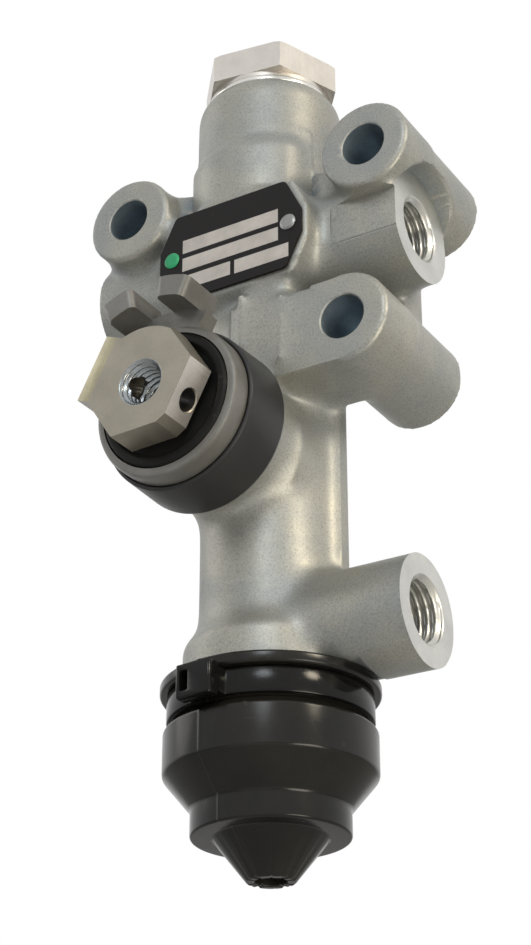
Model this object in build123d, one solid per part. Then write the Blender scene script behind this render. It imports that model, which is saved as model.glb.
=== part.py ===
from build123d import *
from math import cos, pi, radians, sin
import os

# Ride-height leveling valve for air suspension, in millimetres.
# X runs across the valve, Z is up, and depth is measured forward from the mounting face, towards -Y.
# The origin is on the mounting face, midway between the two upper mounting holes.

# axes
barrel_x = -3.2
barrel_depth = 15.0
shaft_z = -52.0
crank_radius = 1.9

# clearances
running_gap = 0.04
seat_gap = 0.05
rubber_gap = 0.3
pin_gap = 0.15

# mounting bosses of the casting
upper_hole_pitch = 50.0
lower_hole_x = 20.0
lower_hole_z = -34.6
mounting_hole_radius = 4.25
boss_reach = 14.7
left_boss_rise = 1.8
boss_radius = 8.6
boss_edge = 0.6
boss_step = 0.3
boss_step_depth = 17.7

# spool, liner and spring
spool_radius = 6.0
spool_top_z = 4.0
spool_tail = 12.0
spool_bore_radius = 1.6
spool_groove_radius = 4.2
crank_groove_radius = 3.2
spool_land_half_height = 2.45
supply_groove_drop = 2.5
vent_groove_height = 5.6
vent_hole_radius = 1.0
liner_wall = 2.0
liner_head_room = 3.1
liner_tail = 9.0
gallery_height = 6.0
gallery_cut = 0.8
liner_port_radius = 1.9
liner_ring_offset = 5.5
spring_coil_radius = 4.1
spring_wire_radius = 0.55
spring_turns = 4.5
ring_section = 0.7
upper_ring_drop = 3.0
middle_ring_drop = 3.5
lower_ring_drop = 8.0

# barrel, neck and foot
duct_radius = 1.5
duct_inset = 1.8
duct_wall = 1.3
neck_radius = 14.1
neck_top_radius = 12.3
neck_top_z = 26.1
neck_round = 4.0
neck_top_slope = 0.6
neck_bottom_z = 7.0
foot_radius = 15.3
foot_height = 20.0
foot_flare = 6.0
foot_bottom_z = -103.0
boss_rear_round = 3.5

# air ports
service_port_z = -12.45
service_port_radius = 10.4
service_flat_setback = 3.5
service_flat_reach = 9.7
spot_face_margin = 0.8
right_port_x = 29.3
left_port_x = -34.4
supply_port_rise = 17.0
supply_port_radius = 9.9
supply_port_x = 27.0
port_core_radius = 5.25
port_mouth_radius = 6.3
port_mouth_chamfer = 0.9
port_thread_length = 13.0
service_drill_radius = 3.5
supply_drill_radius = 2.5
duct_entry_z = -25.0

# front pads, webs and fin of the casting
pad_rise = 0.5
pad_margin = 0.9
upper_pad_right = 11.8
upper_pad_left = 8.0
upper_pad_radius = 16.0
upper_pad_top_z = 12.0
upper_pad_slope = 3.0
front_rib_left = 3.6
front_rib_right = 11.6
front_rib_bottom_z = -42.0
front_rib_setback = 0.9
web_back_depth = 5.0
lower_web_back_depth = 14.0
left_web_top_z = 5.5
left_web_bottom_z = -6.0
left_web_setback = 3.7
right_web_top_z = 4.0
right_web_reach = 6.0
rear_web_right_x = 23.8
rear_web_depth = 13.0
fin_reach = 14.4
fin_back_depth = 12.0
fin_thickness = 3.2

# nameplate and rivets
plate_side_gap = 1.15
plate_height = 18.6
plate_x = -2.5
plate_z = -12.4
plate_corner_x = 3.4
plate_corner_z = 7.0
plate_corner_round = 1.2
plate_thickness = 0.6
rivet_inset = 2.75
rivet_radius = 1.6
rivet_shank_radius = 1.0
rivet_head_height = 0.45
rivet_head_edge = 0.25
rivet_length = 4.0

# plug and its seal
plug_across_flats = 24.0
plug_hex_height = 6.0
plug_turn = -51.1
plug_hex_chamfer = 0.3
plug_flange_radius = 12.0
plug_flange_height = 1.0
plug_seal_height = 1.2
plug_seal_overhang = 0.2
plug_thread_radius = 10.0
plug_thread_length = 13.0
plug_thread_relief = 1.0
plug_pocket_radius = 5.4
plug_pocket_cover = 4.1

# shaft boss, sleeve, collar and seal
shaft_boss_radius = 13.0
shaft_boss_spigot_radius = 12.0
sleeve_gap = 2.3
sleeve_length = 10.6
sleeve_front_radius = 14.9
sleeve_back_radius = 15.3
sleeve_edge = 0.6
flange_recess_depth = 2.0
collar_skirt = 4.6
collar_seat_height = 2.2
collar_lip_rise = 1.8
collar_lip_radius = 12.6
collar_radius = 14.1
collar_round = 1.0
collar_lobe_radius = 17.1
collar_lobe_half_angle = 31.0
fork_outer_radius = 20.9
fork_reach = 5.4
fork_turn = 93.5
fork_gap_half_angle = 7.5
fork_outer_half_angle = 26.0
fork_tip_round = 1.2
seal_radius = 12.5
seal_edge_round = 1.1
seal_height = 2.1

# lever shaft, its bush, crank pin and head
shaft_radius = 4.5
shaft_end_gap = 1.0
bush_wall = 1.5
bush_setback = 2.0
shaft_groove_offset = 10.0
shaft_flange_radius = 8.0
shaft_flange_thickness = 1.4
crank_pin_radius = 1.75
crank_pin_seat = 4.0
crank_pin_reach = 3.5
head_gap = 0.6
head_thickness = 6.3
head_tilt = -27.5
head_side_angle = 60.0
head_rod_flat = 7.9
head_back_flat = 9.1
head_tab_reach = 12.4
head_tab_bottom = -5.6
head_tab_top = 6.6
head_tab_drop = 1.0
head_side_flat = 9.5
head_turned_radius = 11.2
head_face_radius = 10.3
head_cone_length = 2.4
rod_hole_radius = 2.0
rod_hole_rise = 2.35
rod_hole_chamfer = 0.2
clamp_core_radius = 3.4
clamp_mouth_radius = 4.25
clamp_mouth_chamfer = 0.9
clamp_thread_length = 9.0

# outlet strainer and its snap ring
strainer_rise = 11.0
strainer_thickness = 2.0
strainer_hole_radius = 0.9
strainer_hole_circle = 3.6
strainer_hole_count = 6
snap_ring_height = 1.0
snap_ring_bite = 0.8
snap_ring_width = 1.8
snap_ring_gap_angle = 50.0

# exhaust boot and cable tie
boot_grip = 8.9
boot_rim_wall = 3.65
boot_rim_height = 2.1
boot_groove_wall = 1.3
boot_groove_height = 5.0
boot_shoulder_height = 1.6
boot_side_wall = 3.0
boot_skirt = 7.0
boot_neck_step = 1.8
boot_taper_height = 5.8
boot_neck_height = 4.6
nozzle_step = 3.7
nozzle_tip_radius = 4.1
nozzle_length = 7.2
nozzle_bore_radius = 2.7
boot_wall = 2.0
boot_bead_depth = 1.0
boot_bead_rise = 6.2
boot_bead_height = 3.8
tie_width = 4.4
tie_thickness = 1.1
tie_head_width = 7.0
tie_head_height = 5.8
tie_head_depth = 2.6
tie_head_turn = -95.0
tie_slot_offset = 1.75
tie_slot_width = 1.6
tie_slot_height = 3.4

# depths that follow from the barrel axis and from one another
boss_length = barrel_depth + boss_reach
left_boss_length = boss_length + left_boss_rise
pad_depth = boss_length + pad_rise
front_rib_depth = boss_length - front_rib_setback
left_web_depth = boss_length - left_web_setback
right_web_depth = barrel_depth + right_web_reach
service_flat_depth = boss_length - service_flat_setback
service_port_depth = service_flat_depth - service_flat_reach
sleeve_back_depth = boss_length + sleeve_gap
collar_back = sleeve_back_depth + sleeve_length
shaft_boss_spigot_start = collar_back - collar_skirt
shaft_boss_front = collar_back + collar_seat_height
collar_front = shaft_boss_front + collar_lip_rise
fork_front = collar_front + fork_reach
seal_front = shaft_boss_front + seal_height
head_back_depth = seal_front + head_gap
head_front_depth = head_back_depth + head_thickness
rod_hole_depth = head_back_depth + rod_hole_rise
shaft_end_depth = barrel_depth + spool_radius + shaft_end_gap
bush_start = shaft_end_depth + bush_setback
shaft_groove_depth = bush_start + shaft_groove_offset
rivet_end_depth = pad_depth + plate_thickness - rivet_length
flange_front = shaft_boss_front - flange_recess_depth + shaft_flange_thickness + rubber_gap

# radii, widths and places that follow from the pieces that fit together
barrel_y = -barrel_depth
shaft_x = barrel_x - crank_radius
liner_radius = spool_radius + liner_wall
duct_offset = liner_radius + duct_inset
barrel_radius = duct_offset + duct_radius + duct_wall
bush_radius = shaft_radius + bush_wall
plate_width = upper_hole_pitch - 2 * boss_radius - 2 * plate_side_gap
rivet_spacing = plate_width - 2 * rivet_inset
boot_rim_radius = foot_radius + boot_rim_wall
boot_groove_radius = foot_radius + boot_groove_wall
boot_radius = foot_radius + boot_side_wall
boot_neck_radius = foot_radius - boot_neck_step
boot_bead_radius = foot_radius - boot_bead_depth
nozzle_root_radius = boot_neck_radius - nozzle_step

# heights that follow from one another
supply_port_z = foot_bottom_z + supply_port_rise
plug_bottom_z = neck_top_z + plug_seal_height
hex_bottom_z = plug_bottom_z + plug_flange_height
plug_pocket_top_z = neck_top_z - plug_pocket_cover
liner_top_z = neck_top_z - plug_thread_length - liner_head_room
liner_bottom_z = duct_entry_z - liner_tail
supply_groove_top_z = service_port_z - spool_land_half_height
supply_groove_bottom_z = duct_entry_z - supply_groove_drop
vent_groove_bottom_z = service_port_z + spool_land_half_height
vent_groove_top_z = vent_groove_bottom_z + vent_groove_height
spool_bottom_z = shaft_z - spool_tail
spool_ring_heights = {
    "spool_ring_upper": spool_top_z - upper_ring_drop,
    "spool_ring_middle": supply_groove_bottom_z - middle_ring_drop,
    "spool_ring_lower": shaft_z - lower_ring_drop,
}
liner_ring_heights = [
    service_port_z + liner_ring_offset,
    (service_port_z + duct_entry_z) / 2,
    duct_entry_z - liner_ring_offset,
]
strainer_z = foot_bottom_z + strainer_rise
boot_top_z = foot_bottom_z + boot_grip
boot_bead_bottom_z = foot_bottom_z + boot_bead_rise - boot_bead_height
boot_bead_top_z = foot_bottom_z + boot_bead_rise
boot_cylinder_bottom_z = foot_bottom_z - boot_skirt
boot_neck_top_z = boot_cylinder_bottom_z - boot_taper_height
boot_neck_bottom_z = boot_neck_top_z - boot_neck_height
nozzle_tip_z = boot_neck_bottom_z - nozzle_length

BARREL = Pos(barrel_x, barrel_y)
SHAFT = Pos(shaft_x, 0, shaft_z)


def post_y(x, z, radius, back, front):
    # round post along the depth, between two depths
    return extrude(Plane.XZ.offset(back) * Pos(x, z) * Circle(radius), front - back)


def post_x(y, z, radius, start, end):
    # round post across the valve, between two X values
    return extrude(Plane.YZ.offset(start) * Pos(y, z) * Circle(radius), end - start)


def block(left, right, bottom, top, back, front):
    # rectangular block between two depths
    face = Pos((left + right) / 2, (bottom + top) / 2) * Rectangle(right - left, top - bottom)
    return extrude(Plane.XZ.offset(back) * face, front - back)


def turned(points):
    # part turned about the barrel axis from radius and height pairs
    return BARREL * revolve(Plane.XZ * make_face(Polyline(*points, close=True)), Axis.Z)


def turned_on_shaft(points):
    # part turned about the shaft axis from radius and depth pairs
    outline = make_face(Polyline(*[(radius, -depth) for radius, depth in points], close=True))
    return SHAFT * revolve(outline, Axis.Y)


def tube(outer, inner, bottom, top):
    return turned([(inner, bottom), (outer, bottom), (outer, top), (inner, top)])


def shaft_tube(outer, inner, back, front):
    return turned_on_shaft([(inner, back), (outer, back), (outer, front), (inner, front)])


def ring_on_barrel(outer, height):
    # rubber ring of square section whose outside is a running fit in a bore
    return tube(outer, outer - 2 * ring_section, height - ring_section, height + ring_section)


def plate_outline(margin):
    # nameplate outline with clipped corners, grown by a margin
    half_width = plate_width / 2 + margin
    half_height = plate_height / 2 + margin
    inner_x = half_width - plate_corner_x
    inner_z = half_height - plate_corner_z
    corners = [
        (inner_x, half_height), (half_width, inner_z), (half_width, -inner_z), (inner_x, -half_height),
        (-inner_x, -half_height), (-half_width, -inner_z), (-half_width, inner_z), (-inner_x, half_height),
    ]
    outline = make_face(Polyline(*corners, close=True))
    return Pos(plate_x, plate_z) * fillet(outline.vertices(), plate_corner_round)


def sector(inner, outer, start, end):
    # ring sector drawn about the shaft axis, angles in degrees from +X towards +Z
    reach = outer * 2
    middle = (start + end) / 2
    rim_points = [(reach * cos(radians(a)), reach * sin(radians(a))) for a in (start, middle, end)]
    wedge = make_face(Polyline((0, 0), *rim_points, close=True))
    return (Circle(outer) - Circle(inner)) & wedge


def mounting_boss(x, z, length):
    # two halves that meet in a small step at the parting line, sharp where the mounting face is machined
    back_half = post_y(x, z, boss_radius, 0, boss_step_depth)
    front_half = post_y(x, z, boss_radius + boss_step, boss_step_depth, length)
    return back_half + chamfer(front_half.edges().group_by(Axis.Y)[0], boss_edge)


def port_bore(y, z, face_x, inward):
    # threaded port bore with a chamfered mouth, as its core diameter
    thread_end = face_x + inward * port_thread_length
    chamfer_end = face_x + inward * port_mouth_chamfer
    bore = post_x(y, z, port_core_radius, min(face_x, thread_end), max(face_x, thread_end))
    cone = Cone(port_mouth_radius, port_core_radius, port_mouth_chamfer,
                align=(Align.CENTER, Align.CENTER, Align.MIN))
    mouth = Pos(face_x, y, z) * Rot(0, 90 * inward, 0) * cone
    return bore + mouth


def casting_barrel():
    # barrel with a rounded neck above and a flared foot below
    upright = (0, 1)
    foot_top = (foot_radius, foot_bottom_z + foot_height - foot_flare)
    barrel_bottom = (barrel_radius, foot_bottom_z + foot_height)
    barrel_top = (barrel_radius, neck_bottom_z - neck_round)
    neck_bottom = (neck_radius, neck_bottom_z)
    neck_shoulder = (neck_radius, neck_top_z - neck_round)
    neck_rim = (neck_top_radius, neck_top_z)
    outline = [
        Line((0, foot_bottom_z), (foot_radius, foot_bottom_z)),
        Line((foot_radius, foot_bottom_z), foot_top),
        Spline(foot_top, barrel_bottom, tangents=[upright, upright]),
        Line(barrel_bottom, barrel_top),
        Spline(barrel_top, neck_bottom, tangents=[upright, upright]),
        Line(neck_bottom, neck_shoulder),
        Spline(neck_shoulder, neck_rim, tangents=[upright, (-1, neck_top_slope)]),
        Line(neck_rim, (0, neck_top_z)),
        Line((0, neck_top_z), (0, foot_bottom_z)),
    ]
    return BARREL * revolve(Plane.XZ * make_face(Curve() + outline), Axis.Z)


def housing():
    body = casting_barrel()
    # shaft boss, rounded at its rear
    boss = post_y(shaft_x, shaft_z, shaft_boss_radius, barrel_depth, shaft_boss_spigot_start)
    body += fillet(boss.edges().group_by(Axis.Y)[-1], boss_rear_round)
    # service ports left and right, flattened in front, and the supply port
    ports = post_x(-service_port_depth, service_port_z, service_port_radius, left_port_x, right_port_x)
    ports -= block(left_port_x, right_port_x, service_port_z - service_port_radius,
                   service_port_z + service_port_radius, service_flat_depth,
                   service_port_depth + service_port_radius + spot_face_margin)
    body += ports
    body += post_x(barrel_y, supply_port_z, supply_port_radius, barrel_x, supply_port_x)
    # pads on the front
    pads = extrude(Plane.XZ.offset(barrel_depth) * plate_outline(pad_margin), pad_depth - barrel_depth)
    pads += upper_pad()
    pads += block(barrel_x + front_rib_left, barrel_x + front_rib_right, front_rib_bottom_z, plate_z,
                  barrel_depth, front_rib_depth)
    body += pads
    # webs between the bosses
    left_hole_x = -upper_hole_pitch / 2
    right_hole_x = upper_hole_pitch / 2
    body += block(left_hole_x, barrel_x, left_web_bottom_z, left_web_top_z, web_back_depth, left_web_depth)
    body += block(barrel_x, right_hole_x, service_port_z, right_web_top_z, web_back_depth, right_web_depth)
    body += block(barrel_x, rear_web_right_x, lower_hole_z, service_port_z, web_back_depth, rear_web_depth)
    body += block(barrel_x, lower_hole_x, lower_hole_z - boss_radius, lower_hole_z + boss_radius,
                  lower_web_back_depth, boss_length)
    # fin down the right side, over the supply duct
    body += block(barrel_x, barrel_x + fin_reach, supply_port_z, lower_hole_z, fin_back_depth,
                  fin_back_depth + fin_thickness)
    for x, z, length in mounting_holes():
        body += mounting_boss(x, z, length)
    body += post_y(shaft_x, shaft_z, shaft_boss_spigot_radius, shaft_boss_spigot_start, shaft_boss_front)
    for x, z, length in mounting_holes():
        body -= post_y(x, z, mounting_hole_radius, 0, length)
    for x in rivet_places():
        body -= post_y(x, plate_z, rivet_shank_radius, rivet_end_depth, pad_depth)
    # spot face round the right port, cut into the boss above it
    body -= post_x(-service_port_depth, service_port_z, service_port_radius + spot_face_margin,
                   right_port_x, right_hole_x + 2 * boss_radius)
    body -= port_cuts()
    body -= bore_cuts()
    return body


def upper_pad():
    # swelling of the neck above the nameplate, with a sloping top and a flat front
    swelling = turned([
        (0, plate_z), (upper_pad_radius, plate_z), (upper_pad_radius, upper_pad_top_z - upper_pad_slope),
        (neck_radius, upper_pad_top_z), (0, upper_pad_top_z),
    ])
    return swelling & block(barrel_x - upper_pad_left, barrel_x + upper_pad_right, plate_z, upper_pad_top_z,
                            barrel_depth, pad_depth)


def mounting_holes():
    # place of each mounting hole and the length of its boss
    half_pitch = upper_hole_pitch / 2
    return [
        (-half_pitch, 0, left_boss_length),
        (half_pitch, 0, boss_length),
        (lower_hole_x, lower_hole_z, boss_length),
    ]


def port_cuts():
    # port bores, their drillings into the middle, and the supply duct
    service_y = -service_port_depth
    cuts = port_bore(service_y, service_port_z, right_port_x, -1)
    cuts += port_bore(service_y, service_port_z, left_port_x, 1)
    cuts += port_bore(barrel_y, supply_port_z, supply_port_x, -1)
    cuts += post_x(service_y, service_port_z, service_drill_radius,
                   left_port_x + port_thread_length, right_port_x - port_thread_length)
    duct_x = barrel_x + duct_offset
    cuts += post_x(barrel_y, supply_port_z, supply_drill_radius, duct_x - duct_radius,
                   supply_port_x - port_thread_length)
    cuts += Pos(duct_x, barrel_y, (supply_port_z + duct_entry_z) / 2) * Cylinder(
        duct_radius, duct_entry_z - supply_port_z)
    cuts += post_x(barrel_y, duct_entry_z, duct_radius, barrel_x + spool_radius, duct_x)
    return cuts


def bore_cuts():
    # plug thread core, liner bore, spool bore, outlet, snap ring groove, boot groove and shaft bore
    thread_bottom = neck_top_z - plug_thread_length - plug_thread_relief
    cuts = turned([(0, thread_bottom), (plug_thread_radius, thread_bottom),
                   (plug_thread_radius, neck_top_z), (0, neck_top_z)])
    cuts += turned([(0, liner_bottom_z), (liner_radius + seat_gap, liner_bottom_z),
                    (liner_radius + seat_gap, thread_bottom), (0, thread_bottom)])
    cuts += turned([(0, foot_bottom_z), (spool_radius, foot_bottom_z), (spool_radius, liner_bottom_z),
                    (0, liner_bottom_z)])
    snap_top = strainer_z - strainer_thickness
    cuts += tube(spool_radius + snap_ring_bite, 0, snap_top - snap_ring_height, snap_top)
    cuts += tube(boot_rim_radius + rubber_gap, foot_radius, foot_bottom_z, boot_top_z)
    cuts += tube(foot_radius, boot_bead_radius, boot_bead_bottom_z, boot_bead_top_z)
    recess_back = shaft_boss_front - flange_recess_depth
    cuts += post_y(shaft_x, shaft_z, bush_radius, bush_start, recess_back)
    cuts += post_y(shaft_x, shaft_z, shaft_flange_radius + rubber_gap, recess_back, shaft_boss_front)
    cuts += post_y(shaft_x, shaft_z, shaft_radius + rubber_gap, barrel_depth, bush_start)
    return cuts


def top_plug():
    corner = plug_across_flats / 2 / cos(radians(30))
    hexagon = Pos(barrel_x, barrel_y, hex_bottom_z) * Rot(0, 0, plug_turn) * extrude(
        RegularPolygon(corner, 6), plug_hex_height)
    hex_top = hex_bottom_z + plug_hex_height
    inner_corner = corner - 2 * plug_hex_chamfer
    hexagon &= turned([(0, hex_bottom_z), (corner, hex_bottom_z), (corner, hex_top - plug_hex_chamfer),
                       (inner_corner, hex_top), (0, hex_top)])
    thread_bottom = neck_top_z - plug_thread_length
    stem = turned([
        (0, thread_bottom), (plug_thread_radius - seat_gap, thread_bottom),
        (plug_thread_radius - seat_gap, plug_bottom_z), (plug_flange_radius, plug_bottom_z),
        (plug_flange_radius, hex_bottom_z), (0, hex_bottom_z),
    ])
    pocket = turned([(0, thread_bottom), (plug_pocket_radius, thread_bottom),
                     (plug_pocket_radius, plug_pocket_top_z), (0, plug_pocket_top_z)])
    return hexagon + stem - pocket


def plug_seal():
    outer = plug_flange_radius + plug_seal_overhang
    return tube(outer, plug_thread_radius + seat_gap, neck_top_z, plug_bottom_z)


def return_spring():
    bottom = spool_top_z + spring_wire_radius
    height = plug_pocket_top_z - spool_top_z - 2 * spring_wire_radius
    path = Helix(height / spring_turns, height, spring_coil_radius)
    section = Plane(path @ 0, z_dir=path % 0) * Rectangle(2 * spring_wire_radius, 2 * spring_wire_radius)
    return Pos(barrel_x, barrel_y, bottom) * sweep(section, path)


def valve_liner():
    liner = tube(liner_radius, spool_radius, liner_bottom_z, liner_top_z)
    for height in (service_port_z, duct_entry_z):
        liner -= tube(liner_radius, liner_radius - gallery_cut, height - gallery_height / 2,
                      height + gallery_height / 2)
        ports = Rot(0, 90, 0) * Cylinder(liner_port_radius, 2 * liner_radius)
        liner -= Pos(barrel_x, barrel_y, height) * ports
    for height in liner_ring_heights:
        half_groove = ring_section + seat_gap
        liner -= tube(liner_radius, liner_radius - 2 * ring_section - seat_gap, height - half_groove,
                      height + half_groove)
    return liner


def valve_spool():
    radius = spool_radius - running_gap
    slot_half = crank_pin_radius + pin_gap
    spool = turned([
        (spool_bore_radius, spool_bottom_z), (radius, spool_bottom_z), (radius, shaft_z - slot_half),
        (crank_groove_radius, shaft_z - slot_half), (crank_groove_radius, shaft_z + slot_half),
        (radius, shaft_z + slot_half), (radius, supply_groove_bottom_z),
        (spool_groove_radius, supply_groove_bottom_z), (spool_groove_radius, supply_groove_top_z),
        (radius, supply_groove_top_z), (radius, vent_groove_bottom_z),
        (spool_groove_radius, vent_groove_bottom_z), (spool_groove_radius, vent_groove_top_z),
        (radius, vent_groove_top_z), (radius, spool_top_z), (spool_bore_radius, spool_top_z),
    ])
    for height in spool_ring_heights.values():
        spool -= tube(spool_radius, radius - 2 * ring_section, height - ring_section - seat_gap,
                      height + ring_section + seat_gap)
    vent_z = (vent_groove_top_z + vent_groove_bottom_z) / 2
    spool -= Pos(barrel_x, barrel_y, vent_z) * Rot(0, 90, 0) * Cylinder(vent_hole_radius, 2 * spool_radius)
    return spool


def lever_shaft():
    bush_end = shaft_groove_depth + ring_section + seat_gap
    bush_begin = shaft_groove_depth - ring_section - seat_gap
    flange_back = shaft_boss_front - flange_recess_depth + rubber_gap
    radius = shaft_radius - running_gap
    groove_floor = radius - 2 * ring_section
    stem = turned_on_shaft([
        (0, shaft_end_depth), (radius, shaft_end_depth), (radius, bush_begin), (groove_floor, bush_begin),
        (groove_floor, bush_end), (radius, bush_end), (radius, flange_back),
        (shaft_flange_radius, flange_back), (shaft_flange_radius, flange_front - rubber_gap),
        (radius, flange_front - rubber_gap), (radius, head_back_depth), (0, head_back_depth),
    ])
    # head: two flats for the rod, two sides, turned to a cone in front, and a tab at the back flat
    flats = Rot(0, 0, head_tilt) * Pos((head_rod_flat - head_back_flat) / 2, 0) * Rectangle(
        head_rod_flat + head_back_flat, 4 * head_turned_radius)
    sides = Rot(0, 0, head_tilt + head_side_angle) * Rectangle(2 * head_side_flat, 4 * head_turned_radius)
    head = SHAFT * extrude(Plane.XZ.offset(head_back_depth) * (flats & sides), head_thickness)
    head &= turned_on_shaft([
        (0, head_back_depth), (head_turned_radius, head_back_depth),
        (head_turned_radius, head_front_depth - head_cone_length),
        (head_face_radius, head_front_depth), (0, head_front_depth),
    ])
    tab_points = [(0, head_back_depth), (-head_tab_reach, head_back_depth),
                  (-head_tab_reach, head_front_depth - head_tab_drop),
                  (-head_back_flat, head_front_depth), (0, head_front_depth)]
    tab_face = make_face(Polyline(*[(n, -depth) for n, depth in tab_points], close=True))
    tab = extrude(Plane.XY.offset(head_tab_bottom) * tab_face, head_tab_top - head_tab_bottom)
    head += SHAFT * Rot(0, -head_tilt, 0) * tab
    pin_hole = post_y(shaft_x + crank_radius, shaft_z, crank_pin_radius, shaft_end_depth,
                      shaft_end_depth + crank_pin_seat)
    return stem + head - pin_hole - clamp_bore() - rod_bore()


def clamp_bore():
    # tapped centre hole for the screw that clamps the lever rod
    bottom = head_front_depth - clamp_thread_length
    return turned_on_shaft([
        (0, bottom), (clamp_core_radius, bottom),
        (clamp_core_radius, head_front_depth - clamp_mouth_chamfer),
        (clamp_mouth_radius, head_front_depth), (0, head_front_depth),
    ])


def rod_bore():
    # cross hole for the lever rod, through both flats, with chamfered rims
    length = head_rod_flat + head_tab_reach
    rim = rod_hole_radius + rod_hole_chamfer
    cone = Cone(rod_hole_radius, rim, rod_hole_chamfer, align=(Align.CENTER, Align.CENTER, Align.MAX))
    bore = Pos(0, 0, (head_rod_flat - head_tab_reach) / 2) * Cylinder(rod_hole_radius, length)
    bore += Pos(0, 0, head_rod_flat) * cone
    return Pos(shaft_x, -rod_hole_depth, shaft_z) * Rot(0, -head_tilt, 0) * Rot(0, 90, 0) * bore


def crank_pin():
    tip = barrel_depth + crank_pin_reach
    radius = crank_pin_radius - seat_gap
    return post_y(shaft_x + crank_radius, shaft_z, radius, tip, shaft_end_depth + crank_pin_seat)


def shaft_bush():
    end = shaft_boss_front - flange_recess_depth
    return shaft_tube(bush_radius - seat_gap, shaft_radius, bush_start, end)


def shaft_ring():
    radius = shaft_radius - running_gap
    return shaft_tube(radius, radius - 2 * ring_section, shaft_groove_depth - ring_section,
                      shaft_groove_depth + ring_section)


def stop_collar():
    # ring with a skirt on the boss, a raised lobe on top and two prongs that reach forward
    skirt_inner = shaft_boss_spigot_radius + seat_gap
    ring = shaft_tube(shaft_boss_radius, skirt_inner, shaft_boss_spigot_start + seat_gap, collar_back)
    rim = shaft_tube(collar_radius, skirt_inner, collar_back, shaft_boss_front)
    inset = collar_round * (1 - cos(radians(45)))
    rim += turned_on_shaft([
        (collar_lip_radius, shaft_boss_front), (collar_radius, shaft_boss_front),
        (collar_radius, collar_front - collar_round), (collar_radius - inset, collar_front - inset),
        (collar_radius - collar_round, collar_front), (collar_lip_radius, collar_front),
    ])
    plane = Plane.XZ.offset(collar_back)
    lobe_sector = sector(collar_lip_radius, collar_lobe_radius, fork_turn - collar_lobe_half_angle,
                         fork_turn + collar_lobe_half_angle)
    lobe = SHAFT * extrude(plane * lobe_sector, collar_front - rubber_gap - collar_back)
    prongs = Part()
    for side in (-1, 1):
        angles = sorted([fork_turn + side * fork_gap_half_angle, fork_turn + side * fork_outer_half_angle])
        foot = sector(collar_lip_radius, fork_outer_radius, *angles)
        prong = extrude(plane * foot, collar_front - rubber_gap - collar_back)
        tine = sector(collar_lobe_radius, fork_outer_radius, *angles)
        tine_body = extrude(plane * tine, fork_front - collar_back)
        tip_edges = tine_body.edges().group_by(Axis.Y)[0].filter_by(GeomType.LINE)
        prong += fillet(tip_edges, fork_tip_round)
        prongs += SHAFT * prong
    return ring + rim + lobe + prongs


def dust_seal():
    inner = shaft_radius + rubber_gap
    back = shaft_boss_front + seat_gap
    return turned_on_shaft([
        (inner, back), (seal_radius, back), (seal_radius, seal_front - seal_edge_round),
        (seal_radius - seal_edge_round, seal_front), (inner, seal_front),
    ])


def boss_sleeve():
    inner = shaft_boss_radius + seat_gap
    sleeve = turned_on_shaft([
        (inner, sleeve_back_depth), (sleeve_back_radius, sleeve_back_depth),
        (sleeve_front_radius, collar_back), (inner, collar_back),
    ])
    rims = sleeve.edges().filter_by(GeomType.CIRCLE).sort_by(SortBy.RADIUS)[-2:]
    return chamfer(rims, sleeve_edge)


def rivet_places():
    return [plate_x - rivet_spacing / 2, plate_x + rivet_spacing / 2]


def nameplate():
    plate = extrude(Plane.XZ.offset(pad_depth) * plate_outline(0), plate_thickness)
    for x in rivet_places():
        plate -= post_y(x, plate_z, rivet_shank_radius, pad_depth, pad_depth + plate_thickness)
    return plate


def rivet(x):
    face = pad_depth + plate_thickness
    shank = post_y(x, plate_z, rivet_shank_radius - seat_gap, rivet_end_depth, face)
    head = post_y(x, plate_z, rivet_radius, face, face + rivet_head_height)
    head = chamfer(head.edges().group_by(Axis.Y)[0], rivet_head_edge)
    return shank + head


def outlet_strainer():
    disc = tube(spool_radius - seat_gap, 0, strainer_z - strainer_thickness, strainer_z)
    for index in range(strainer_hole_count):
        turn = index * 360 / strainer_hole_count
        x = barrel_x + strainer_hole_circle * cos(radians(turn))
        y = barrel_y + strainer_hole_circle * sin(radians(turn))
        hole = Cylinder(strainer_hole_radius, strainer_thickness)
        disc -= Pos(x, y, strainer_z - strainer_thickness / 2) * hole
    return disc


def snap_ring():
    top = strainer_z - strainer_thickness - seat_gap
    bottom = strainer_z - strainer_thickness - snap_ring_height + seat_gap
    outer = spool_radius + snap_ring_bite - seat_gap
    ring = tube(outer, outer - snap_ring_width, bottom, top)
    reach = 2 * spool_radius
    half = radians(snap_ring_gap_angle / 2)
    gap_points = [(0, 0), (reach * cos(half), -reach * sin(half)), (reach * cos(half), reach * sin(half))]
    gap = extrude(Plane.XY.offset(bottom) * make_face(Polyline(*gap_points, close=True)), top - bottom)
    return ring - BARREL * gap


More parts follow.
